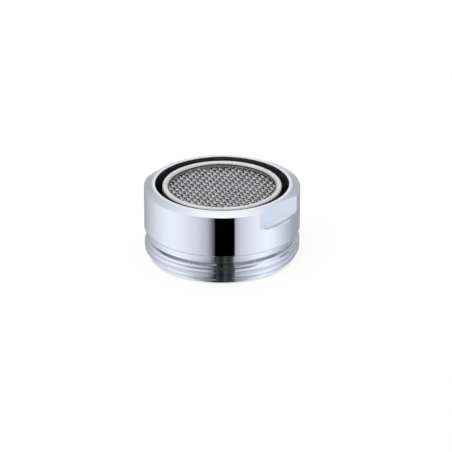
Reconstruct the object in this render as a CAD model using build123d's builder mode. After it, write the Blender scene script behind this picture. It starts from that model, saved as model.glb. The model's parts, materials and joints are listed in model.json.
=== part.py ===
from build123d import *
import os
from math import hypot, pi

# Tap aerator with a male thread, standing on its threaded end with its outlet up.
# The axis is Z, the thread's end face is at z = 0 and the two spanner flats face +X and -X.

# Housing, outside
thread_diameter = 23.9      # M24 x 1, over the crests
thread_pitch = 1.0
thread_length = 2.6
relief_width = 0.75         # from the last crest to the bottom of the groove above it
relief_depth = 0.24         # the groove goes this far below the thread's root
shoulder_rise = 0.15        # the groove's upper side
shoulder_step = 0.6
under_chamfer_height = 1.2  # slope from the groove up to the band
band_step = 0.05            # the band stands this far outside the crests
rim_rise = 0.49             # slope of the bevelled rim
rim_land = 0.5              # flat ring inside the bevel
flat_depth = 0.85           # spanner flats, below the band's surface
flat_height = 3.1           # spanner flats, down from the rim

# Housing, inside
inlet_wall = 0.5            # wall between the thread's root and the inlet bore
seat_width = 0.58           # ledge between the inlet bore and the outlet bore

# Sealing washer
washer_recess = 0.2         # the washer lies this far inside the thread's end
washer_thickness = 1.5
washer_lap = 0.5            # the washer holds the filter by this much of its edge

# Inlet filter
filter_sheet = 0.5
filter_edge = 0.9           # plain edge outside the slots
filter_slot = 0.7
filter_slot_count = 14
filter_web = 0.4            # between two slots at their inner ends

# Jet plate
jet_plate_height = 4.0
jet_plate_wall = 0.65
jet_plate_web = 1.0         # thickness of the floor that holds the jets
jet_length = 1.4
jet_width = 0.5
jet_count = 12
jet_inset = 0.6             # between the jets and the wall

# Cartridge body
air_gap = 1.07              # air ring between the outlet bore and the cartridge
flange_thickness = 1.0
spigot_wall = 0.75
spigot_length = 1.2
shoulder_width = 0.35       # ledge that the jet plate sits on
chamber_height = 3.55
window_sill = 0.25
window_head = 0.35
rib_width = 3.0             # between two air windows
rib_count = 4

# Screens and outlet ring
inner_sheet = 0.3           # two wires of the inner screen
outlet_sheet = 0.5          # two wires of the outlet screen
ring_sheet = 0.35
ring_recess = 0.2           # the ring lies this far below the housing's rim
rim_height = 0.92
rim_width = 0.92
rim_crown = 0.28            # the rolled rim's slopes
screen_land = 0.1           # plain edge between the weave and the rim
weave_angle = 66            # degrees, turn of the wires about the axis
outlet_pitch = 1.85
outlet_wire = 0.7
knuckle_rise = 0.14         # wires stand up where they cross over
knuckle_slope = 35          # degrees
inner_pitch = 3.5
inner_wire = 1.2

# Room between pieces that slide into each other
slip = 0.05

# Thread depth of the ISO metric profile
thread_depth = 0.613 * thread_pitch

# Radii, from the thread inwards
thread_r = thread_diameter / 2
root_r = thread_r - thread_depth
relief_r = root_r - relief_depth
ledge_r = relief_r + shoulder_step
band_r = thread_r + band_step
flat_r = band_r - flat_depth
inlet_r = root_r - inlet_wall
outlet_r = inlet_r - seat_width
land_r = outlet_r + rim_land
flange_r = inlet_r - slip
cartridge_r = outlet_r - air_gap
rim_r = cartridge_r - rim_width
sleeve_r = cartridge_r - ring_sheet
spigot_r = sleeve_r - slip
chamber_r = spigot_r - spigot_wall
mouth_r = chamber_r + shoulder_width
insert_r = mouth_r - slip
washer_hole_r = insert_r - washer_lap

# Heights, from the thread's end to the outlet
flange_z = washer_recess + washer_thickness
seat_z = flange_z + flange_thickness
jet_plate_z = flange_z + filter_sheet
shoulder_z = jet_plate_z + jet_plate_height
inner_screen_z = shoulder_z + chamber_height
spigot_z = inner_screen_z - spigot_length
outlet_screen_z = inner_screen_z + inner_sheet
rim_under_z = outlet_screen_z + outlet_sheet
ring_top_z = rim_under_z + rim_height
top_z = ring_top_z + ring_recess
relief_z = thread_length + relief_width
ledge_z = relief_z + shoulder_rise
band_z = ledge_z + under_chamfer_height
bevel_z = top_z - rim_rise
flat_z = top_z - flat_height
window_z = shoulder_z + window_sill
window_height = spigot_z - window_head - window_z


def places(pitch, offset, half_x, half_y, radius):
    """Grid indices and centres of the rectangles that lie inside a circle."""
    reach = int(radius / pitch) + 1
    steps = range(-reach, reach + 1)
    found = []
    for i in steps:
        for j in steps:
            x = (i + offset) * pitch
            y = (j + offset) * pitch
            if hypot(abs(x) + half_x, abs(y) + half_y) < radius:
                found.append((i, j, x, y))
    return found


# Housing: turned shell with a groove above the thread, a ledge inside and two spanner flats
with BuildPart() as housing:
    with BuildSketch(Plane.XZ):
        with BuildLine():
            Polyline(
                (inlet_r, 0),
                (root_r, 0),
                (thread_r, thread_depth),
                (thread_r, thread_length),
                (relief_r, relief_z),
                (ledge_r, ledge_z),
                (band_r, band_z),
                (band_r, bevel_z),
                (land_r, top_z),
                (outlet_r, top_z),
                (outlet_r, seat_z),
                (inlet_r, seat_z),
                close=True,
            )
        make_face()
    revolve(axis=Axis.Z)
    with BuildSketch(Plane.XZ):
        with Locations((flat_r, flat_z)):
            Rectangle(band_r, flat_height, align=(Align.MIN, Align.MIN))
        mirror(about=Plane.YZ)
    extrude(amount=band_r, both=True, mode=Mode.SUBTRACT)

# Sealing washer: flat ring in the threaded end
with BuildPart() as sealing_washer:
    with BuildSketch(Plane.XY.offset(washer_recess)):
        Circle(flange_r)
        Circle(washer_hole_r, mode=Mode.SUBTRACT)
    extrude(amount=washer_thickness)

# Inlet filter: flat sieve with radial slots
with BuildPart() as inlet_filter:
    slot_start = filter_slot_count * (filter_slot + filter_web) / (2 * pi)
    slot_length = insert_r - filter_edge - slot_start
    with BuildSketch(Plane.XY.offset(flange_z)):
        Circle(insert_r)
        with PolarLocations(slot_start + slot_length / 2, filter_slot_count):
            Rectangle(slot_length, filter_slot, mode=Mode.SUBTRACT)
    extrude(amount=filter_sheet)

# Jet plate: cup whose floor has a ring of narrow slots
with BuildPart() as jet_plate:
    with BuildSketch(Plane.XY.offset(jet_plate_z)):
        Circle(insert_r)
    extrude(amount=jet_plate_height)
    with BuildSketch(Plane.XY.offset(jet_plate_z)):
        Circle(insert_r - jet_plate_wall)
    extrude(amount=jet_plate_height - jet_plate_web, mode=Mode.SUBTRACT)
    jet_r = insert_r - jet_plate_wall - jet_inset - jet_length / 2
    with BuildSketch(Plane.XY.offset(shoulder_z)):
        with PolarLocations(jet_r, jet_count):
            Rectangle(jet_length, jet_width)
    extrude(amount=-jet_plate_web, mode=Mode.SUBTRACT)

# Cartridge body: flanged sleeve with air windows and a spigot for the outlet ring
with BuildPart() as cartridge_body:
    with BuildSketch(Plane.XZ):
        with BuildLine():
            Polyline(
                (mouth_r, flange_z),
                (flange_r, flange_z),
                (flange_r, seat_z),
                (spigot_r, seat_z),
                (spigot_r, inner_screen_z),
                (chamber_r, inner_screen_z),
                (chamber_r, shoulder_z),
                (mouth_r, shoulder_z),
                close=True,
            )
        make_face()
    revolve(axis=Axis.Z)
    with BuildSketch(Plane.XY.offset(window_z)):
        Circle(cartridge_r)
        with PolarLocations(0, rib_count):
            Rectangle(cartridge_r, rib_width, align=(Align.MIN, Align.CENTER), mode=Mode.SUBTRACT)
    extrude(amount=window_height, mode=Mode.SUBTRACT)

# Inner screen: coarse wire disc on top of the spigot
inner_gap = inner_pitch - inner_wire
with BuildPart() as inner_screen:
    with BuildSketch(Plane.XY.offset(inner_screen_z).rotated((0, 0, weave_angle))):
        Circle(spigot_r)
        gaps = places(inner_pitch, 0, inner_gap / 2, inner_gap / 2, chamber_r - screen_land)
        with Locations(*[(x, y) for i, j, x, y in gaps]):
            Rectangle(inner_gap, inner_gap, mode=Mode.SUBTRACT)
    extrude(amount=inner_sheet)

# Outlet screen: plain weave, with a raised knuckle where one wire passes over the other
outlet_gap = outlet_pitch - outlet_wire
knuckle_length = outlet_pitch
weave_r = rim_r - screen_land
with BuildPart() as outlet_screen:
    with BuildSketch(Plane.XY.offset(outlet_screen_z).rotated((0, 0, weave_angle))):
        Circle(spigot_r)
        gaps = places(outlet_pitch, 0, outlet_gap / 2, outlet_gap / 2, weave_r)
        with Locations(*[(x, y) for i, j, x, y in gaps]):
            Rectangle(outlet_gap, outlet_gap, mode=Mode.SUBTRACT)
    extrude(amount=outlet_sheet)
    over = places(outlet_pitch, 0.5, outlet_wire / 2, knuckle_length / 2, weave_r)
    across = places(outlet_pitch, 0.5, knuckle_length / 2, outlet_wire / 2, weave_r)
    with BuildSketch(Plane.XY.offset(rim_under_z).rotated((0, 0, weave_angle))):
        with Locations(*[(x, y) for i, j, x, y in over if (i + j) % 2]):
            Rectangle(outlet_wire, knuckle_length)
        with Locations(*[(x, y) for i, j, x, y in across if not (i + j) % 2]):
            Rectangle(knuckle_length, outlet_wire)
    extrude(amount=knuckle_rise, taper=knuckle_slope)

# Outlet ring: drawn sleeve with a rolled rim that holds the screens on the spigot
with BuildPart() as outlet_ring:
    with BuildSketch(Plane.XZ):
        with BuildLine():
            Polyline(
                (rim_r, ring_top_z - rim_crown),
                (rim_r, rim_under_z + rim_crown),
                (rim_r + rim_crown, rim_under_z),
                (sleeve_r, rim_under_z),
                (sleeve_r, spigot_z),
                (cartridge_r, spigot_z),
                (cartridge_r, ring_top_z - rim_crown),
                (cartridge_r - rim_crown, ring_top_z),
                (rim_r + rim_crown, ring_top_z),
                close=True,
            )
        make_face()
    revolve(axis=Axis.Z)

# Each piece is written to a file of its own
pieces = {
    "housing": housing,
    "sealing_washer": sealing_washer,
    "inlet_filter": inlet_filter,
    "jet_plate": jet_plate,
    "cartridge_body": cartridge_body,
    "inner_screen": inner_screen,
    "outlet_screen": outlet_screen,
    "outlet_ring": outlet_ring,
}
os.makedirs("parts", exist_ok=True)
for name, piece in pieces.items():
    piece.part.label = name
    export_step(piece.part, f"parts/{name}.step")
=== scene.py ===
import json
from math import acos, atan2, cos, hypot, pi, radians, sin, sqrt, tan

import bmesh
import bpy
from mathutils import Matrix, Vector


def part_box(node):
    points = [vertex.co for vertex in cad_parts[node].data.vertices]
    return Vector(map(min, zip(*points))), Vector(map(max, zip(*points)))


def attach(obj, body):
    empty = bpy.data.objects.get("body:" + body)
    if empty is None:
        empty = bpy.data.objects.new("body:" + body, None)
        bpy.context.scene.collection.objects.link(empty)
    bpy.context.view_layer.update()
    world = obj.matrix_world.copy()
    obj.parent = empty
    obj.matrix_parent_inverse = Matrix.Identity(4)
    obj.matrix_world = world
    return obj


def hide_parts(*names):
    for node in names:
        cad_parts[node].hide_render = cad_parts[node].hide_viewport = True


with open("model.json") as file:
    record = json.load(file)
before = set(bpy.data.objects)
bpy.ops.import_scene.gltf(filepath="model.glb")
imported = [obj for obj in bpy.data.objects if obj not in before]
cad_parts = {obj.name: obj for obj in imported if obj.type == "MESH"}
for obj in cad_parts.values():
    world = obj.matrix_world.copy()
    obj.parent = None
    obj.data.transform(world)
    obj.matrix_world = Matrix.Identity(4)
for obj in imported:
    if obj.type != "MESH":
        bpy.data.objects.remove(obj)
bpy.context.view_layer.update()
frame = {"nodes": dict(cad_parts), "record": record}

# A tap aerator on a white floor, seen as in the photograph.
# Shapes are worked out in millimetres and written to the meshes in metres.
MM = 0.001

# Camera, as the photograph was taken
PHOTO_PIXELS = 452
AXIS_X_PIXEL = 222.1        # the part's axis, across the photograph
BASE_Y_PIXEL = 251.9        # the middle of its base, down the photograph
PIXELS_PER_MM = 6.48
AZIMUTH = 40.0              # degrees
ELEVATION = 24.7            # degrees
DISTANCE = 480.0
SENSOR = 36.0
CLIP_START = 10.0
CAMERA_ANGLE = radians(AZIMUTH - 90)    # of the camera about the axis, from +X

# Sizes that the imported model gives
housing_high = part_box("housing")[1]
ring_low, ring_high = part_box("outlet_ring")
screen_low, screen_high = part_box("outlet_screen")
inner_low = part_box("inner_screen")[0]
body_low, body_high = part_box("cartridge_body")
mounts = {mount["name"]: mount for mount in frame["record"]["mounts"]}
band_r = housing_high[1] / MM
top_z = housing_high[2] / MM
ring_r = ring_high[0] / MM
ring_bottom_z = ring_low[2] / MM
ring_top_z = ring_high[2] / MM
screen_r = screen_high[0] / MM
screen_bottom_z = screen_low[2] / MM
inner_bottom_z = inner_low[2] / MM
flange_r = body_high[0] / MM
flange_z = body_low[2] / MM
thread_r = mounts["spout_thread"]["dims"]["r_mm"]

# Thread
thread_pitch = 1.0
thread_depth = 0.52         # with the plating on it
flank_angle = radians(30)   # half the angle between two sides of the thread
crest_width = 0.44
crest_z = 2.31              # a crest on the side that the camera sees
lead_in = 0.6               # the thread tapers in by this much
lead_height = 1.4           # over this height from its end
run_out = 0.9               # the thread's end fades over this angle, in radians
root_r = thread_r - thread_depth

# Collar and groove above the thread
collar_drop = 0.26          # the collar lies this far below the crests
collar_z = 3.08
relief_r = 11.097
relief_z = 3.38
relief_height = 0.22
shoulder_rise = 0.05
shoulder_step = 0.6
groove_lean = 0.13          # on the side that the camera sees, the groove climbs with the thread
lean_start = 2.5            # below this height nothing leans
collar_r = thread_r - collar_drop
ledge_r = relief_r + shoulder_step
ledge_z = relief_z + relief_height + shoulder_rise

# Band and rim
band_z = 4.7                # lower edge of the band
score_z = 4.76              # fine line just above the chamfer under the band
score_width = 0.06          # of each of its two sides
score_depth = 0.035
rim_rise = 0.49
rim_land = 0.5
land_radius = 0.9
lip_radius = 0.1
edge_radius = 0.05
bevel_z = top_z - rim_rise

# Bore
slip = 0.05
seat_width = 0.58
flange_thickness = 1.0
inlet_r = flange_r + slip
outlet_r = inlet_r - seat_width
land_r = outlet_r + rim_land
seat_z = flange_z + flange_thickness

# Spanner flats
flat_depth = 0.85
flat_height = 3.1
flat_corner = 0.45          # lower corners of the flat, seen from its front
flat_cheek = 0.001          # angle that the side wall of a flat takes, in radians
flat_edge = 0.28            # rounding of the edge under the flat
flat_edge_share = 0.8       # it takes no more than this share of the flat's depth
flat_edge_end = 0.1         # the rounding fades out over this angle, in radians
flat_r = band_r - flat_depth
flat_z = top_z - flat_height
flat_half = acos(flat_r / band_r)   # half the angle that a flat takes of the band

# Outlet ring
ring_sheet = 0.35
rim_width = 0.92
rim_height = 0.92
roll_radius = 0.46          # inner edge of the rim
curl_radius = 0.42          # the rim curls in under itself
crown_radius = 0.3          # outer edge of the rim
rim_r = ring_r - rim_width
sleeve_r = ring_r - ring_sheet
rim_under_z = ring_top_z - rim_height

# Woven screens
weave_angle = radians(66)
outlet_pitch = (0.69, 0.78)     # of the two sets of wires
outlet_wire = 0.25
inner_pitch = (1.1, 1.1)
inner_wire = 0.15
crimp = 0.5                 # a wire's swing up and down, in wire diameters
outlet_rise = 0.14          # the outlet screen stands up this far inside the ring
inner_rise = 0.0
screen_bend = (8.3, 8.6)    # a screen bends down to its clamped edge between these radii

# Mesh fineness
ARC_STEPS = 8
FLAT_COLUMNS = 72
ROUND_COLUMNS = 144
LATHE_COLUMNS = 240
THREAD_ROWS = 20            # in one turn
WIRE_SIDES = 8
WIRE_STEPS = 8              # from one crossing to the next
HOLD = 0.04                 # a support row lies this far from each arc
SNAP = 0.02                 # the thread's rows end on the faces that they come this close to
WELD = 0.0005               # points this close are one point
SLIVER = 0.0002             # faces this thin are taken out
TURNED_CREASE = radians(13)     # edges that bend more than this stay sharp
WIRE_CREASE = radians(60)

# Colours; where there are two, the surface varies from the first to the second
CHROME_COLOR = (0.77, 0.78, 0.81)
BORE_COLORS = ((0.1, 0.098, 0.095), (0.15, 0.147, 0.144))
RING_COLORS = ((0.6, 0.588, 0.58), (0.7, 0.686, 0.677))
WIRE_COLORS = ((0.56, 0.545, 0.535), (0.8, 0.775, 0.765))
BLACK_PLASTIC_COLORS = ((0.018, 0.018, 0.019), (0.028, 0.028, 0.03))
BLACK_RUBBER_COLORS = ((0.014, 0.014, 0.014), (0.026, 0.026, 0.026))
WHITE_PLASTIC_COLORS = ((0.66, 0.66, 0.63), (0.76, 0.76, 0.73))

# Noise in the materials: features to a metre along X, Y and Z
CHROME_HAZE = (260, 260, 260)
TURNED_LINES = (90, 90, 9000)
BORE_PATCHES = (500, 500, 900)
RING_TONES = (500, 500, 7000)
WIRE_TONES = (900, 900, 900)
DRAWN_LINES = (400, 400, 12000)
MOULDED_TONES = (300, 300, 300)
MOULDED_GRAIN = (9000, 9000, 9000)
NOISE_DETAIL = 3.0
GRAIN_DETAIL = 2.0
NOISE_RANGE = (0.3, 0.7)    # most of the noise lies in this range

# Light and shade painted on the outlet ring: colour, how far below the ring's top it starts and ends,
# and how far in from the ring's outer side it goes
# painted shadow in the crease under the rolled rim, all round it
PAINTED_CREASE_SHADOW = ((0.07, 0.068, 0.066), 0.5, 0.25, ring_r)
# painted shadow on the ring's outer side below the rim, down in the gap
PAINTED_SIDE_SHADOW = ((0.1, 0.098, 0.096), ring_top_z - ring_bottom_z, 0.26, 0.14)
# painted light on the ring's outer side just under its top
PAINTED_SIDE_LIGHT = ((0.95, 0.935, 0.92), 0.26, 0.1, 0.14)
SHADE_SOFTNESS = 0.06

# Floor
FLOOR_HALF = 1500.0
FLOOR_COLOR = (0.9, 0.9, 0.9)
FLOOR_WHITE = 0.85          # how far the floor is lifted to white where the camera sees it

# The sheet that the polished band mirrors: bearing in degrees from the camera, brightness
SHEET_STEPS = (
    (-90, 0.42),
    (-78, 0.5),
    (-68, 0.72),
    (-55, 1.0),
    (-46, 1.16),
    (-38, 1.2),
    (-28, 1.1),
    (-18, 0.9),
    (-11, 0.64),
    (-6.8, 0.22),
    (-4.9, 0.0),
    (8.9, 0.0),
    (10.0, 0.62),
    (14, 0.86),
    (24, 1.1),
    (34, 1.24),
    (41, 1.18),
    (48, 1.0),
    (56, 0.74),
    (64, 0.53),
    (76, 0.48),
    (90, 0.5),
)
SHEET_TINT = (0.89, 0.91, 1.0)
COOL_TINT = (0.8, 0.875, 1.0)
# Bearing in degrees, share of the cool tint
COOL_STEPS = (
    (-90, 0.0),
    (36, 0.0),
    (50, 1.0),
    (66, 0.9),
    (90, 0.3),
)
SHEET_HEIGHT = 0.03
SHEET_START = -0.5          # the sheet goes in under the thread's taper
SHEET_END = 1200.0
SHEET_COLUMNS = 720
# The sheet is darker at the part's foot, on both sides of the stripe
FOOT_SHADE = 0.75
FOOT_HALF = 36.0            # degrees
FOOT_REACH = 4.0
# The collar mirrors a darker band, on both sides of the stripe
COLLAR_SHADE = 0.42
COLLAR_HALF = 45.0          # degrees
COLLAR_NEAR = 5.7
COLLAR_FAR = 7.0
COLLAR_SOFTNESS = 0.3
# The dark stripe in front of the part
STRIPE_LEFT = -4.9          # degrees
STRIPE_RIGHT = 8.9
STRIPE_START = 9.0          # from here on it is black
STRIPE_SOFTNESS = 1.0
# Share of the stripe's width, brightness close to the part and in the gap above it
STRIPE_TONES = (
    (0.0, 0.07),
    (0.12, 0.06),
    (0.28, 0.015),
    (0.38, 0.03),
    (0.53, 0.09),
    (0.68, 0.045),
    (0.84, 0.05),
    (0.93, 0.09),
    (1.0, 0.15),
)
# The part of the sheet that a spanner flat mirrors
FLAT_LEFT = 42.0            # degrees
FLAT_RIGHT = 59.0
FLAT_START = 17.8
FLAT_SOFTNESS = 0.4
FLAT_LEVEL = 1.04
# Far out the sheet has one tone, which the far side of the rim mirrors
FAR_START = 40.0
FAR_LEVEL = 0.85
# How far out from the band the sheet has its rows of points
SHEET_REACHES = (
    SHEET_START, 0.05, 1, 2, 3, FOOT_REACH,
    COLLAR_NEAR - COLLAR_SOFTNESS, COLLAR_NEAR, COLLAR_FAR, COLLAR_FAR + COLLAR_SOFTNESS,
    STRIPE_START, STRIPE_START + STRIPE_SOFTNESS, 16,
    FLAT_START - FLAT_SOFTNESS, FLAT_START, 25, 30,
    FAR_START, SHEET_END,
)

# The dark gap between the lights, behind the camera, in degrees:
# its left and right edge at the bottom and at the top, and its heights
GAP_LOW = (-10.4, 18.4)
GAP_HIGH = (-8.0, 14.4)
GAP_BOTTOM = 0.5
GAP_TOP = 44.0

# The grey panel above the gap: degrees beside the camera's upright plane, brightness
PANEL_STEPS = (
    (-46, 0.85),
    (-34, 0.36),
    (-20, 0.25),
    (-11, 0.2),
    (-7.4, 0.08),
    (-5, 0.05),
    (12, 0.05),
    (13.6, 0.22),
    (24, 0.34),
    (36, 0.56),
    (46, 0.95),
)
PANEL_BOTTOM = 44.0
PANEL_TOP = 76.0

# Cards at the side: left, right, low and high edge in degrees, brightness.
# The ledge under a flat mirrors the light one, and its rounded edge the others.
LIGHT_CARD = (92.0, 106.0, 19.0, 30.0, 1.27)
GREY_CARD = (86.0, 112.0, 0.5, 19.0, 0.75)
DARK_CARD = (106.0, 125.0, 27.0, 45.0, 0.42)
CARD_TINT = (0.85, 0.905, 1.0)
CARD_DISTANCE = 220.0
CARD_STEPS = 32

# The studio's sky, as the polished surfaces mirror it: sine of the elevation, brightness
SKY_STEPS = (
    (0.0, 0.52),
    (0.36, 0.58),
    (0.52, 0.7),
    (0.7, 0.88),
    (0.84, 1.08),
    (0.93, 1.26),
    (1.0, 1.26),
)
# Cosine of the bearing from the camera, share of the sky's brightness that the low walls have
WALL_STEPS = (
    (-1.0, 1.68),
    (-0.996, 1.6),
    (-0.975, 1.05),
    (-0.6, 0.85),
    (-0.26, 0.55),
    (0.1, 0.9),
    (0.4, 1.05),
    (0.7, 0.75),
    (1.0, 0.7),
)
# The walls give way to the plain sky between these sines of the elevation
WALL_TOP = 0.62
SKY_LOW = 0.8
SKY_TINT = (0.87, 0.9, 1.0)
HIGH_TINT = (0.96, 0.96, 1.0)
# Share of the high tint, by the sine of the elevation and by the cosine of the bearing
HIGH_SKY_STEPS = (
    (0.0, 0.0),
    (0.8, 0.0),
    (0.9, 1.0),
    (1.0, 1.0),
)
BACK_WALL_STEPS = (
    (-1.0, 1.0),
    (-0.97, 1.0),
    (-0.92, 0.0),
    (1.0, 0.0),
)
WORLD_STRENGTH = 1.0
JUST_OVER_ONE = 1.0001      # keeps the level length above zero straight up

# Lamp
KEY_ELEVATION = 60.0        # degrees
KEY_DISTANCE = 300.0
KEY_SIZE = 200.0
KEY_POWER = 0.3             # watts


# Numbers and points


def shares(count):
    """So many equal steps from 0 to 1."""
    return [step / count for step in range(count + 1)]


def between(low, high, share):
    """The value at a share of the way from low to high."""
    return low + (high - low) * share


def fade(share):
    """From 0 to 1 with soft ends."""
    share = min(1, max(0, share))
    return share * share * (3 - 2 * share)


def step_level(steps, place):
    """Value at a place between the steps of a table of (place, value)."""
    for (low, first), (high, second) in zip(steps, steps[1:]):
        if place <= high:
            return between(first, second, (place - low) / (high - low))
    return steps[-1][1]


def turned(r, angle, z):
    """The point at a radius, an angle about the axis and a height."""
    return r * cos(angle), r * sin(angle), z


# Meshes


def make_object(name, points, faces, materials):
    """A mesh object from points in millimetres."""
    mesh = bpy.data.meshes.new(name)
    mesh.from_pydata([(x * MM, y * MM, z * MM) for x, y, z in points], [], faces)
    for material in materials:
        mesh.materials.append(material)
    thing = bpy.data.objects.new(name, mesh)
    bpy.context.scene.collection.objects.link(thing)
    return thing


def finish_mesh(mesh, crease, weld):
    """Turn all faces outwards and shade them smooth between sharp edges, welded first where asked."""
    work = bmesh.new()
    work.from_mesh(mesh)
    if weld:
        bmesh.ops.remove_doubles(work, verts=work.verts, dist=WELD * MM)
        bmesh.ops.dissolve_degenerate(work, edges=work.edges, dist=SLIVER * MM)
    bmesh.ops.recalc_face_normals(work, faces=work.faces)
    work.to_mesh(mesh)
    work.free()
    mesh.shade_smooth()
    mesh.set_sharp_from_angle(angle=crease)


def rounded(corners, closed=False):
    """Points of a profile whose corners (r, z, radius) are arcs, with a support point beside each arc."""
    count = len(corners)
    points = []
    for i, (r, z, radius) in enumerate(corners):
        if radius == 0 or (not closed and i in (0, count - 1)):
            points.append((r, z))
            continue
        here = Vector((r, z))
        to_last = Vector(corners[i - 1][:2]) - here
        to_next = Vector(corners[(i + 1) % count][:2]) - here
        back = to_last.normalized()
        ahead = to_next.normalized()
        half = back.angle(ahead) / 2
        reach = radius / tan(half)
        centre = here + (back + ahead).normalized() * (radius / sin(half))
        start = here + back * reach
        end = here + ahead * reach
        first = start - centre
        turn = first.angle_signed(end - centre)
        if to_last.length > reach + 2 * HOLD:
            points.append(tuple(start + back * HOLD))
        for step in range(ARC_STEPS + 1):
            angle = -turn * step / ARC_STEPS
            spoke = Vector((
                first.x * cos(angle) - first.y * sin(angle),
                first.x * sin(angle) + first.y * cos(angle),
            ))
            points.append(tuple(centre + spoke))
        if to_next.length > reach + 2 * HOLD:
            points.append(tuple(end + ahead * HOLD))
    return points


def lathe(name, profile, material):
    """A closed profile of (r, z) points turned about the axis."""
    rows = len(profile)
    points = []
    faces = []
    for column in range(LATHE_COLUMNS):
        angle = 2 * pi * column / LATHE_COLUMNS
        points += [turned(r, angle, z) for r, z in profile]
        here = column * rows
        there = (column + 1) % LATHE_COLUMNS * rows
        for row in range(rows):
            after = (row + 1) % rows
            faces.append((here + row, there + row, there + after, here + after))
    thing = make_object(name, points, faces, [material])
    finish_mesh(thing.data, TURNED_CREASE, weld=True)
    return thing


# Housing


def pocket_edge(z):
    """Half the angle of a spanner flat at a height, less its rounded lower corners."""
    rise = z - flat_z
    if rise >= flat_corner:
        return flat_half
    inset = flat_corner - sqrt(flat_corner**2 - (flat_corner - rise)**2)
    return flat_half - inset / band_r


def column_angles(edge):
    """Angles of all columns when each flat takes this half angle, and where they lie across a flat."""
    angles = []
    for middle in (0, pi):
        angles.append((middle - edge, None))
        for step in range(FLAT_COLUMNS + 1):
            across = (edge - flat_cheek) * (2 * step / FLAT_COLUMNS - 1)
            angles.append((middle + across, across))
        for step in range(ROUND_COLUMNS):
            along = step / ROUND_COLUMNS
            angles.append((middle + edge + along * (pi - 2 * edge), None))
    return angles


def flank(off):
    """Radius of a crest's side, so many turns away from its middle."""
    return thread_r - max(0, off * thread_pitch - crest_width / 2) / tan(flank_angle)


def thread_radius(z, turns, bearing):
    """Radius of the thread at a height and bearing, so many turns above the last crest."""
    if turns <= -0.5:
        r = max(root_r, flank(abs((turns + 0.5) % 1 - 0.5)))
    else:
        # the last crest runs out to the height of the collar
        crest = between(collar_r, thread_r, fade((pi - bearing) / run_out))
        r = max(root_r, min(flank(abs(turns)), crest))
    if turns > 0:
        # the groove between the last crest and the collar runs out too
        groove = min(collar_r, max(root_r, flank(1 - turns)))
        r = max(r, between(groove, collar_r, fade((bearing + pi) / run_out)))
    taper_r = thread_r - lead_in * (1 - z / lead_height)
    return min(r, taper_r)


def helix_rows():
    """Rows that follow the thread, from the end face up to the top of the collar."""
    columns = column_angles(pocket_edge(flat_z))
    start_angle = columns[0][0]
    spacing = thread_pitch / THREAD_ROWS
    # the rows meet the edges of the crests
    crest_edge = crest_z + crest_width / 2 + thread_pitch * (start_angle - CAMERA_ANGLE) / (2 * pi)
    shift = crest_edge % spacing - spacing
    count = (int(collar_z / thread_pitch) + 2) * THREAD_ROWS
    rows = []
    for k in range(count + 1):
        row = []
        for angle, _ in columns:
            turn = ((angle - start_angle) % (2 * pi)) / (2 * pi)
            z = spacing * k + thread_pitch * (turn - 1) + shift
            if z < SNAP:
                z = 0
            elif z > collar_z - SNAP:
                z = collar_z
            bearing = (angle - CAMERA_ANGLE + pi) % (2 * pi) - pi
            turns = (z - crest_z) / thread_pitch - bearing / (2 * pi)
            row.append(turned(thread_radius(z, turns, bearing), angle, z))
        rows.append(row)
    return rows


def plain_row(r, z, edge):
    """A round row, with its columns where the flats take this half angle."""
    return [turned(r, angle, z) for angle, _ in column_angles(edge)]


def pocket_radius(across):
    """Radius of a flat's plane, or of the band beside it."""
    if across is None:
        return band_r
    return flat_r / cos(across)


def foot_row(turn):
    """A row round the band just under the flats, at an angle round the edge there."""
    edge = pocket_edge(flat_z)
    z = flat_z - flat_edge * (1 - sin(turn))
    row = []
    for angle, across in column_angles(edge):
        r = band_r
        if across is not None:
            depth = band_r - pocket_radius(across)
            radius = min(flat_edge, flat_edge_share * depth)
            radius *= fade((edge - abs(across)) / flat_edge_end)
            rise = max(0, z - (flat_z - radius))
            r -= radius - sqrt(max(0, radius**2 - rise**2))
        row.append(turned(r, angle, z))
    return row


def flat_row(z):
    """A row round the band and across the two flats."""
    return [turned(pocket_radius(across), angle, z) for angle, across in column_angles(pocket_edge(z))]


def rim_row(share):
    """A row from the top of the flats' corners at share 0 to the bevel's edge at share 1."""
    start = flat_z + flat_corner + HOLD
    row = []
    for angle, across in column_angles(flat_half):
        r = pocket_radius(across)
        crown = top_z - rim_rise * (r - land_r) / (band_r - land_r)
        row.append(turned(r, angle, between(start, crown, share)))
    return row


def wall_rows():
    """Rows from the collar through the groove and over the band and flats to the bevel's edge."""
    foot_edge = pocket_edge(flat_z)
    score_top = score_z + 2 * score_width
    profile = rounded([
        (collar_r, collar_z, 0),
        (relief_r, relief_z, edge_radius),
        (relief_r, relief_z + relief_height, edge_radius),
        (ledge_r, ledge_z, edge_radius),
        (band_r, band_z, 0),
        (band_r, score_z, 0),
        (band_r - score_depth, score_z + score_width, 0),
        (band_r, score_top, 0),
    ])
    # the first point is the thread's last row
    rows = [plain_row(r, z, foot_edge) for r, z in profile[1:]]
    rows.append(plain_row(band_r, score_top + HOLD, foot_edge))
    rows.append(plain_row(band_r, flat_z - flat_edge - HOLD, foot_edge))
    quarter = [pi / 2 * share for share in shares(ARC_STEPS)]
    rows += [foot_row(turn) for turn in quarter]
    rows += [flat_row(flat_z + flat_corner * (1 - cos(turn))) for turn in quarter]
    rows += [rim_row(share) for share in shares(2)]
    return rows


def inner_rows():
    """Rows from the bevel over the rim and down the bore, and which of them the bore starts at."""
    profile = rounded([
        (band_r, bevel_z, 0),
        (land_r, top_z, land_radius),
        (outlet_r, top_z, lip_radius),
        (outlet_r, seat_z, 0),
        (inlet_r, seat_z, 0),
        (inlet_r, 0, edge_radius),
        (root_r, 0, 0),
    ])
    rows = [plain_row(r, z, flat_half) for r, z in profile[1:-1]]
    rim_rows = [z for _, z in profile if z > bevel_z]
    return rows, len(rim_rows) - 1


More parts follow.
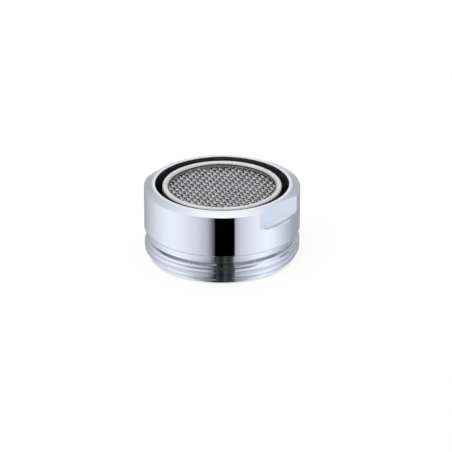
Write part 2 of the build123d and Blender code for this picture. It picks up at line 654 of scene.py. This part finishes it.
def lean(point):
    """Raise or lower a point of the wall round the groove, so that the groove climbs across the photo."""
    x, y, z = point
    if hypot(x, y) < relief_r - slip or not lean_start < z < band_z:
        return point
    share = fade((z - lean_start) / (collar_z - lean_start)) * fade((band_z - z) / (band_z - ledge_z))
    bearing = atan2(y, x) - CAMERA_ANGLE
    return x, y, z + groove_lean * share * sin(bearing)


def make_housing(chrome, bore):
    """The turned shell, from its thread over the band and the rim and down through its bore."""
    helix = helix_rows()
    wall = wall_rows()
    inner, bore_start = inner_rows()
    rows = helix + wall + inner
    columns = len(rows[0])
    points = [lean(point) for row in rows for point in row]
    faces = []
    face_materials = []
    last_helix = len(helix) - 1
    first_bore = len(helix) + len(wall) + bore_start
    for i in range(len(rows)):
        after = (i + 1) % len(rows)
        for j in range(columns):
            beside = (j + 1) % columns
            # the helix goes up one turn where it closes on itself
            lift = THREAD_ROWS if beside == 0 and i < last_helix else 0
            if lift and i + lift >= last_helix:
                continue
            faces.append((
                i * columns + j,
                (i + lift) * columns + beside,
                (after + lift) * columns + beside,
                after * columns + j,
            ))
            face_materials.append(1 if i >= first_bore else 0)
    thing = make_object("chrome_housing", points, faces, [chrome, bore])
    thing.data.polygons.foreach_set("material_index", face_materials)
    finish_mesh(thing.data, TURNED_CREASE, weld=True)
    return thing


# Woven screens


def wire_rings(angle, offset, reach, cross, phase, swing, wire):
    """Rings of points along one wire, which passes over and under those that it crosses.

    It lies at this offset from the middle and reaches this far both ways, and the wires that it crosses
    are this far apart. It swings up and down by this much, starting at this phase in half waves.
    """
    steps = max(2, int(2 * reach / cross * WIRE_STEPS))
    rings = []
    for step in range(steps + 1):
        along = -reach + 2 * reach * step / steps
        wave = pi * (along / cross + phase)
        lift = swing * cos(wave)
        slope = -swing * pi / cross * sin(wave)
        tilt = 1 / hypot(1, slope)
        ring = []
        for side in range(WIRE_SIDES):
            spin = 2 * pi * side / WIRE_SIDES
            aside = offset + wire / 2 * cos(spin)
            up = wire / 2 * sin(spin)
            ahead = along - up * slope * tilt
            x = ahead * cos(angle) - aside * sin(angle)
            y = ahead * sin(angle) + aside * cos(angle)
            ring.append((x, y, lift + up * tilt))
        rings.append(ring)
    return rings


def tube_faces(first, count):
    """Faces of a wire with closed ends through so many rings, whose points start at this index."""
    faces = []
    for ring in range(count - 1):
        here = first + ring * WIRE_SIDES
        there = here + WIRE_SIDES
        for side in range(WIRE_SIDES):
            after = (side + 1) % WIRE_SIDES
            faces.append((here + side, here + after, there + after, there + side))
    last = first + (count - 1) * WIRE_SIDES
    faces.append(tuple(range(first, first + WIRE_SIDES)))
    faces.append(tuple(range(last, last + WIRE_SIDES)))
    return faces


def screen_lift(x, y, rise):
    """How far a screen stands up at a place, fading out at its clamped edge."""
    low, high = screen_bend
    return rise * (1 - fade((hypot(x, y) - low) / (high - low)))


def make_weave(name, radius, middle_z, rise, pitch, wire, material):
    """Two sets of round wires in plain weave, cut to a disc that stands up inside its clamped edge."""
    swing = wire * crimp
    first_set = (weave_angle, pitch[0], pitch[1], swing)
    second_set = (weave_angle + pi / 2, pitch[1], pitch[0], -swing)
    points = []
    faces = []
    for angle, apart, cross, set_swing in (first_set, second_set):
        half_count = int(radius / apart)
        for index in range(-half_count, half_count + 1):
            offset = index * apart
            if abs(offset) >= radius - wire:
                continue
            reach = sqrt(radius**2 - (abs(offset) + wire / 2)**2)
            rings = wire_rings(angle, offset, reach, cross, index, set_swing, wire)
            faces += tube_faces(len(points), len(rings))
            for ring in rings:
                points += [(x, y, middle_z + screen_lift(x, y, rise) + z) for x, y, z in ring]
    thing = make_object(name, points, faces, [material])
    finish_mesh(thing.data, WIRE_CREASE, weld=False)
    return thing


# Materials


def math_node(tree, operation, first, second=None):
    """Arithmetic on one or two values, each of them a number or another node's output."""
    node = tree.nodes.new("ShaderNodeMath")
    node.operation = operation
    for socket, value in zip(node.inputs, (first, second)):
        if value is None:
            continue
        if isinstance(value, (int, float)):
            socket.default_value = value
        else:
            tree.links.new(value, socket)
    return node.outputs[0]


def soft_step(tree, value, low, high):
    """0 below one value and 1 above another, with soft ends."""
    node = tree.nodes.new("ShaderNodeMapRange")
    node.interpolation_type = "SMOOTHSTEP"
    node.inputs["From Min"].default_value = low
    node.inputs["From Max"].default_value = high
    tree.links.new(value, node.inputs["Value"])
    return node.outputs["Result"]


def mix_colors(tree, share, first, second):
    """A colour between two others, the first of them a node's output."""
    mix = tree.nodes.new("ShaderNodeMix")
    mix.data_type = "RGBA"
    mix.inputs["B"].default_value = (*second, 1)
    tree.links.new(share, mix.inputs["Factor"])
    tree.links.new(first, mix.inputs["A"])
    return mix.outputs["Result"]


def noise(tree, stretch, detail=NOISE_DETAIL):
    """Noise in the part's own coordinates, with so many features to a metre along X, Y and Z."""
    where = tree.nodes.new("ShaderNodeTexCoord")
    mapping = tree.nodes.new("ShaderNodeMapping")
    mapping.inputs["Scale"].default_value = stretch
    texture = tree.nodes.new("ShaderNodeTexNoise")
    texture.inputs["Scale"].default_value = 1.0
    texture.inputs["Detail"].default_value = detail
    tree.links.new(where.outputs["Object"], mapping.inputs["Vector"])
    tree.links.new(mapping.outputs["Vector"], texture.inputs["Vector"])
    return texture.outputs["Fac"]


def new_material(name, color, metallic, roughness):
    """A plain material, with its nodes and its shader."""
    material = bpy.data.materials.new(name)
    material.use_nodes = True
    shader = material.node_tree.nodes["Principled BSDF"]
    shader.inputs["Base Color"].default_value = (*color, 1)
    shader.inputs["Metallic"].default_value = metallic
    shader.inputs["Roughness"].default_value = roughness
    return material, material.node_tree, shader


def vary_roughness(tree, shader, value, roughness):
    """Let noise carry the roughness from its first to its second value."""
    node = tree.nodes.new("ShaderNodeMapRange")
    node.inputs["From Min"].default_value = NOISE_RANGE[0]
    node.inputs["From Max"].default_value = NOISE_RANGE[1]
    node.inputs["To Min"].default_value = roughness[0]
    node.inputs["To Max"].default_value = roughness[1]
    tree.links.new(value, node.inputs["Value"])
    tree.links.new(node.outputs["Result"], shader.inputs["Roughness"])


def vary_color(tree, shader, value, colors):
    """Let noise carry the colour from the first to the second one."""
    ramp = tree.nodes.new("ShaderNodeValToRGB")
    for element, position, color in zip(ramp.color_ramp.elements, NOISE_RANGE, colors):
        element.position = position
        element.color = (*color, 1)
    tree.links.new(value, ramp.inputs["Fac"])
    tree.links.new(ramp.outputs["Color"], shader.inputs["Base Color"])


def add_bump(tree, shader, value, height, strength):
    """Let noise raise the surface by a height in millimetres."""
    bump = tree.nodes.new("ShaderNodeBump")
    bump.inputs["Distance"].default_value = height * MM
    bump.inputs["Strength"].default_value = strength
    tree.links.new(value, bump.inputs["Height"])
    tree.links.new(bump.outputs["Normal"], shader.inputs["Normal"])


def chrome_material(roughness):
    """Polished plating over a turned surface: faint lines round the axis and a little haze."""
    material, tree, shader = new_material(
        "chrome_plate", CHROME_COLOR, metallic=1.0, roughness=roughness[0])
    vary_roughness(tree, shader, noise(tree, CHROME_HAZE), roughness)
    add_bump(tree, shader, noise(tree, TURNED_LINES), height=0.0006, strength=0.5)
    return material


def bore_material(metallic, roughness):
    """Thin dull plating inside the outlet."""
    material, tree, shader = new_material("bore_plate", BORE_COLORS[1], metallic, roughness[0])
    patches = noise(tree, BORE_PATCHES)
    vary_color(tree, shader, patches, BORE_COLORS)
    vary_roughness(tree, shader, patches, roughness)
    return material


def steel_material(name, colors, metallic, roughness, tones):
    """Drawn stainless steel, with its drawing lines."""
    material, tree, shader = new_material(name, colors[1], metallic, roughness[0])
    tone = noise(tree, tones)
    vary_color(tree, shader, tone, colors)
    vary_roughness(tree, shader, tone, roughness)
    add_bump(tree, shader, noise(tree, DRAWN_LINES), height=0.001, strength=0.4)
    return material


def moulded_material(name, colors, roughness, grain):
    """Moulded plastic or rubber with a fine matt grain."""
    material, tree, shader = new_material(name, colors[1], metallic=0.0, roughness=roughness[0])
    tone = noise(tree, MOULDED_TONES)
    vary_color(tree, shader, tone, colors)
    vary_roughness(tree, shader, tone, roughness)
    add_bump(tree, shader, noise(tree, MOULDED_GRAIN, GRAIN_DETAIL), height=grain, strength=0.5)
    return material


def paint_light_and_shade_on_ring(material, bands):
    """Paint light and shade into the outlet ring's colour, in bands round it."""
    tree = material.node_tree
    shader = tree.nodes["Principled BSDF"]
    color = shader.inputs["Base Color"].links[0].from_socket
    where = tree.nodes.new("ShaderNodeTexCoord")
    split = tree.nodes.new("ShaderNodeSeparateXYZ")
    tree.links.new(where.outputs["Object"], split.inputs[0])
    x, y, z = split.outputs
    x_squared = math_node(tree, "MULTIPLY", x, x)
    y_squared = math_node(tree, "MULTIPLY", y, y)
    r = math_node(tree, "SQRT", math_node(tree, "ADD", x_squared, y_squared))
    # each band mixes in a painted shadow or painted light
    for shade, bottom, top, depth in bands:
        low = ring_top_z - bottom
        high = ring_top_z - top
        radius = ring_r - depth
        over = soft_step(tree, z, (low - SHADE_SOFTNESS) * MM, low * MM)
        above = soft_step(tree, z, (high - SHADE_SOFTNESS) * MM, high * MM)
        outside = soft_step(tree, r, (radius - SHADE_SOFTNESS) * MM, radius * MM)
        inside_band = math_node(tree, "SUBTRACT", over, above)
        share = math_node(tree, "MULTIPLY", inside_band, outside)
        color = mix_colors(tree, share, color, shade)
    tree.links.new(color, shader.inputs["Base Color"])


def dress(node, material):
    """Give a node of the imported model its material."""
    thing = frame["nodes"][node]
    thing.data.materials.clear()
    thing.data.materials.append(material)


# Stage


def direction(azimuth, elevation):
    """From the part at these angles in degrees, with azimuth 0 along -Y."""
    a = radians(azimuth)
    e = radians(elevation)
    return Vector((sin(a) * cos(e), -cos(a) * cos(e), sin(e)))


def make_camera():
    """The camera, placed so that the part lies in its picture as in the photograph."""
    back = direction(AZIMUTH, ELEVATION)
    right = Vector((cos(radians(AZIMUTH)), sin(radians(AZIMUTH)), 0))
    up = Vector((0, 0, 1))
    middle = PHOTO_PIXELS / 2
    aim = right * ((middle - AXIS_X_PIXEL) / PIXELS_PER_MM)
    aim += up * ((BASE_Y_PIXEL - middle) / PIXELS_PER_MM / cos(radians(ELEVATION)))
    data = bpy.data.cameras.new("camera")
    data.sensor_width = SENSOR
    data.lens = SENSOR * DISTANCE * PIXELS_PER_MM / PHOTO_PIXELS
    data.clip_start = CLIP_START * MM
    camera = bpy.data.objects.new("camera", data)
    camera.location = (aim + back * DISTANCE) * MM
    camera.rotation_euler = back.to_track_quat("Z", "Y").to_euler()
    bpy.context.scene.collection.objects.link(camera)
    bpy.context.scene.camera = camera


def make_lamp():
    """A soft square lamp aimed at the part from its -Y side, kept out of its mirror surfaces."""
    away = direction(0, KEY_ELEVATION)
    data = bpy.data.lights.new("key", "AREA")
    data.size = KEY_SIZE * MM
    data.energy = KEY_POWER
    lamp = bpy.data.objects.new("key", data)
    lamp.location = away * KEY_DISTANCE * MM
    lamp.rotation_euler = away.to_track_quat("Z", "Y").to_euler()
    lamp.visible_glossy = False
    bpy.context.scene.collection.objects.link(lamp)


def stage_mesh(name, points, faces, material):
    """A mesh that isn't part of the object."""
    thing = make_object(name, points, faces, [material])
    return thing


def make_floor():
    """A white floor that keeps a soft shadow."""
    material = bpy.data.materials.new("floor")
    material.use_nodes = True
    tree = material.node_tree
    tree.nodes.clear()
    paper = tree.nodes.new("ShaderNodeBsdfDiffuse")
    paper.inputs["Color"].default_value = (*FLOOR_COLOR, 1)
    white = tree.nodes.new("ShaderNodeEmission")
    lifted = tree.nodes.new("ShaderNodeMixShader")
    lifted.inputs["Fac"].default_value = FLOOR_WHITE
    seen = tree.nodes.new("ShaderNodeMixShader")
    path = tree.nodes.new("ShaderNodeLightPath")
    out = tree.nodes.new("ShaderNodeOutputMaterial")
    rays = math_node(tree, "MAXIMUM", path.outputs["Is Camera Ray"], path.outputs["Is Glossy Ray"])
    rays = math_node(tree, "MAXIMUM", rays, path.outputs["Is Transmission Ray"])
    tree.links.new(paper.outputs[0], lifted.inputs[1])
    tree.links.new(white.outputs[0], lifted.inputs[2])
    tree.links.new(rays, seen.inputs["Fac"])
    tree.links.new(paper.outputs[0], seen.inputs[1])
    tree.links.new(lifted.outputs[0], seen.inputs[2])
    tree.links.new(seen.outputs[0], out.inputs["Surface"])
    h = FLOOR_HALF
    stage_mesh("floor", [(-h, -h, 0), (h, -h, 0), (h, h, 0), (-h, h, 0)], [(0, 1, 2, 3)], material)


def glow_material(name):
    """Light of the colour that is stored at each point of the mesh."""
    material = bpy.data.materials.new(name)
    material.use_nodes = True
    tree = material.node_tree
    tree.nodes.clear()
    tone = tree.nodes.new("ShaderNodeAttribute")
    tone.attribute_name = "tone"
    glow = tree.nodes.new("ShaderNodeEmission")
    out = tree.nodes.new("ShaderNodeOutputMaterial")
    tree.links.new(tone.outputs["Color"], glow.inputs["Color"])
    tree.links.new(glow.outputs[0], out.inputs["Surface"])
    return material


def make_card(name, grid, tones):
    """A card seen only in reflections, from a grid of points in columns and a colour for each."""
    rows = len(grid[0])
    points = [point for column in grid for point in column]
    faces = []
    for column in range(len(grid) - 1):
        for row in range(rows - 1):
            here = column * rows + row
            faces.append((here, here + 1, here + rows + 1, here + rows))
    card = stage_mesh(name, points, faces, glow_material(name))
    colors = []
    for column in tones:
        for tone in column:
            colors += [*tone, 1.0]
    card.data.attributes.new("tone", "FLOAT_COLOR", "POINT")
    card.data.attributes["tone"].data.foreach_set("color", colors)
    card.visible_camera = False
    card.visible_diffuse = False
    card.visible_transmission = False
    card.visible_volume_scatter = False
    card.visible_shadow = False


def tinted(level, tint):
    """A brightness in a tint."""
    return [level * share for share in tint]


def sheet_tone(degrees, reach):
    """Colour of the sheet on the line of a bearing, so far out from the band."""
    level = step_level(SHEET_STEPS, degrees)
    level *= 1 - FOOT_SHADE * fade(1 - abs(degrees) / FOOT_HALF) * fade(1 - reach / FOOT_REACH)
    if COLLAR_NEAR <= reach <= COLLAR_FAR:
        level *= 1 - COLLAR_SHADE * fade(1 - abs(degrees) / COLLAR_HALF)
    if reach >= FAR_START:
        level = FAR_LEVEL
    if reach <= STRIPE_START and STRIPE_LEFT < degrees < STRIPE_RIGHT:
        level = step_level(STRIPE_TONES, (degrees - STRIPE_LEFT) / (STRIPE_RIGHT - STRIPE_LEFT))
    if FLAT_START <= reach < FAR_START and FLAT_LEFT < degrees < FLAT_RIGHT:
        level = FLAT_LEVEL
    cool = step_level(COOL_STEPS, degrees)
    tint = [between(warm, cold, cool) for warm, cold in zip(SHEET_TINT, COOL_TINT)]
    return tinted(level, tint)


def make_sheet():
    """A graded sheet on the floor round the part.

    Its lines of one tone run the way that the upright wall sends the camera's rays.
    """
    grid = []
    tones = []
    for share in shares(SHEET_COLUMNS):
        degrees = between(-90, 90, share)
        wall = CAMERA_ANGLE + radians(degrees)
        ray = CAMERA_ANGLE + 2 * radians(degrees)
        points = []
        for reach in SHEET_REACHES:
            x = band_r * cos(wall) + reach * cos(ray)
            y = band_r * sin(wall) + reach * sin(ray)
            points.append((x, y, SHEET_HEIGHT))
        grid.append(points)
        tones.append([sheet_tone(degrees, reach) for reach in SHEET_REACHES])
    make_card("graded_sheet", grid, tones)


def beside_camera(lateral, elevation):
    """A point on the cards' sphere, so many degrees beside the camera's upright plane."""
    a = radians(lateral)
    e = radians(elevation)
    ahead = CARD_DISTANCE * cos(a) * cos(e)
    aside = CARD_DISTANCE * sin(a)
    return (
        ahead * cos(CAMERA_ANGLE) - aside * sin(CAMERA_ANGLE),
        ahead * sin(CAMERA_ANGLE) + aside * cos(CAMERA_ANGLE),
        CARD_DISTANCE * cos(a) * sin(e),
    )


def make_gap():
    """The dark opening between the lights."""
    grid = []
    tones = []
    for share in shares(CARD_STEPS):
        points = []
        for climb in shares(CARD_STEPS):
            left = between(GAP_LOW[0], GAP_HIGH[0], climb)
            right = between(GAP_LOW[1], GAP_HIGH[1], climb)
            rise = between(GAP_BOTTOM, GAP_TOP, climb)
            points.append(beside_camera(between(left, right, share), rise))
        level = step_level(STRIPE_TONES, share)
        grid.append(points)
        tones.append([(level, level, level)] * len(points))
    make_card("front_gap", grid, tones)


def make_panel():
    """The grey panel above the gap."""
    left = PANEL_STEPS[0][0]
    right = PANEL_STEPS[-1][0]
    rises = [between(PANEL_BOTTOM, PANEL_TOP, climb) for climb in shares(CARD_STEPS)]
    grid = []
    tones = []
    for share in shares(2 * CARD_STEPS):
        lateral = between(left, right, share)
        tone = tinted(step_level(PANEL_STEPS, lateral), SHEET_TINT)
        grid.append([beside_camera(lateral, rise) for rise in rises])
        tones.append([tone] * len(rises))
    make_card("top_panel", grid, tones)


def make_side_card(name, left, right, low, high, level):
    """A card of one tone between two bearings and two elevations."""
    rises = [radians(between(low, high, climb)) for climb in shares(CARD_STEPS)]
    tone = tinted(level, CARD_TINT)
    grid = []
    tones = []
    for share in shares(CARD_STEPS):
        angle = CAMERA_ANGLE + radians(between(left, right, share))
        points = []
        for rise in rises:
            points.append(turned(CARD_DISTANCE * cos(rise), angle, CARD_DISTANCE * sin(rise)))
        grid.append(points)
        tones.append([tone] * len(rises))
    make_card(name, grid, tones)


def ramp_node(tree, place, steps):
    """Value at a place in a table of (place, value) whose places end at 1."""
    ramp = tree.nodes.new("ShaderNodeValToRGB")
    elements = ramp.color_ramp.elements
    elements.remove(elements[0])
    first = steps[0][0]
    highest = max(value for _, value in steps)
    for i, (spot, value) in enumerate(steps):
        share = (spot - first) / (1 - first)
        element = elements[0] if i == 0 else elements.new(share)
        element.position = share
        element.color = (value / highest, value / highest, value / highest, 1)
    from_first = math_node(tree, "SUBTRACT", place, first)
    tree.links.new(math_node(tree, "DIVIDE", from_first, 1 - first), ramp.inputs["Fac"])
    return math_node(tree, "MULTIPLY", ramp.outputs["Color"], highest)


def studio_background(tree):
    """What the polished surfaces mirror: a sky that is white above and walls that are grey low down."""
    where = tree.nodes.new("ShaderNodeTexCoord")
    split = tree.nodes.new("ShaderNodeSeparateXYZ")
    tree.links.new(where.outputs["Generated"], split.inputs[0])
    x, y, z = split.outputs
    x_share = math_node(tree, "MULTIPLY", x, cos(CAMERA_ANGLE))
    y_share = math_node(tree, "MULTIPLY", y, sin(CAMERA_ANGLE))
    ahead = math_node(tree, "ADD", x_share, y_share)
    z_squared = math_node(tree, "MULTIPLY", z, z)
    level_length = math_node(tree, "SQRT", math_node(tree, "SUBTRACT", JUST_OVER_ONE, z_squared))
    bearing = math_node(tree, "DIVIDE", ahead, level_length)

    sky = ramp_node(tree, z, SKY_STEPS)
    walls = ramp_node(tree, bearing, WALL_STEPS)
    wall_share = math_node(tree, "SUBTRACT", 1.0, soft_step(tree, z, WALL_TOP, SKY_LOW))
    wall_lack = math_node(tree, "SUBTRACT", 1.0, walls)
    lack = math_node(tree, "MULTIPLY", wall_lack, wall_share)
    level = math_node(tree, "MULTIPLY", sky, math_node(tree, "SUBTRACT", 1.0, lack))

    high_sky = ramp_node(tree, z, HIGH_SKY_STEPS)
    back_wall = ramp_node(tree, bearing, BACK_WALL_STEPS)
    sky_tint = tree.nodes.new("ShaderNodeRGB").outputs[0]
    sky_tint.default_value = (*SKY_TINT, 1)
    tint = mix_colors(tree, math_node(tree, "MAXIMUM", high_sky, back_wall), sky_tint, HIGH_TINT)
    studio = tree.nodes.new("ShaderNodeBackground")
    tree.links.new(tint, studio.inputs["Color"])
    tree.links.new(level, studio.inputs["Strength"])
    return studio


def make_world():
    """Even white light, with the studio in reflections only."""
    world = bpy.data.worlds.new("studio")
    world.use_nodes = True
    bpy.context.scene.world = world
    tree = world.node_tree
    plain = tree.nodes["Background"]
    plain.inputs["Color"].default_value = (1, 1, 1, 1)
    plain.inputs["Strength"].default_value = WORLD_STRENGTH
    studio = studio_background(tree)
    path = tree.nodes.new("ShaderNodeLightPath")
    mirrored = tree.nodes.new("ShaderNodeMixShader")
    tree.links.new(path.outputs["Is Glossy Ray"], mirrored.inputs["Fac"])
    tree.links.new(plain.outputs[0], mirrored.inputs[1])
    tree.links.new(studio.outputs[0], mirrored.inputs[2])
    tree.links.new(mirrored.outputs[0], tree.nodes["World Output"].inputs["Surface"])


# The pieces

chrome = chrome_material(roughness=(0.03, 0.075))
bore = bore_material(metallic=0.8, roughness=(0.28, 0.42))
ring_steel = steel_material(
    "steel_ring", RING_COLORS, metallic=0.5, roughness=(0.3, 0.42), tones=RING_TONES)
# the ring's colour gets painted shadow in its crease and low on its outer side, and painted light high on
# its outer side
paint_light_and_shade_on_ring(ring_steel, (PAINTED_CREASE_SHADOW, PAINTED_SIDE_SHADOW, PAINTED_SIDE_LIGHT))
wire_steel = steel_material(
    "steel_wire", WIRE_COLORS, metallic=1.0, roughness=(0.2, 0.34), tones=WIRE_TONES)
black_plastic = moulded_material(
    "black_plastic", BLACK_PLASTIC_COLORS, roughness=(0.4, 0.55), grain=0.004)
black_rubber = moulded_material(
    "black_rubber", BLACK_RUBBER_COLORS, roughness=(0.6, 0.8), grain=0.008)
white_plastic = moulded_material(
    "white_plastic", WHITE_PLASTIC_COLORS, roughness=(0.35, 0.5), grain=0.003)

housing = make_housing(chrome, bore)
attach(housing, "root")
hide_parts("housing")

ring_profile = rounded([
    (sleeve_r, ring_bottom_z, 0),
    (ring_r, ring_bottom_z, 0),
    (ring_r, ring_top_z, crown_radius),
    (rim_r, ring_top_z, roll_radius),
    (rim_r, rim_under_z, curl_radius),
    (sleeve_r, rim_under_z, 0),
], closed=True)
ring = lathe("rolled_outlet_ring", ring_profile, ring_steel)
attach(ring, "root")
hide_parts("outlet_ring")

outlet_screen = make_weave(
    "woven_outlet_screen", screen_r, screen_bottom_z + outlet_wire, outlet_rise,
    outlet_pitch, outlet_wire, wire_steel)
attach(outlet_screen, "root")
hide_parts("outlet_screen")

inner_screen = make_weave(
    "woven_inner_screen", screen_r, inner_bottom_z + inner_wire, inner_rise,
    inner_pitch, inner_wire, wire_steel)
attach(inner_screen, "root")
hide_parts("inner_screen")

dress("cartridge_body", black_plastic)
dress("sealing_washer", black_rubber)
dress("inlet_filter", white_plastic)
dress("jet_plate", white_plastic)

# The stage

make_camera()
make_floor()
make_sheet()
make_gap()
make_panel()
make_side_card("light_card", *LIGHT_CARD)
make_side_card("grey_card", *GREY_CARD)
make_side_card("dark_card", *DARK_CARD)
make_world()
make_lamp()
bpy.context.scene.view_settings.view_transform = "Standard"
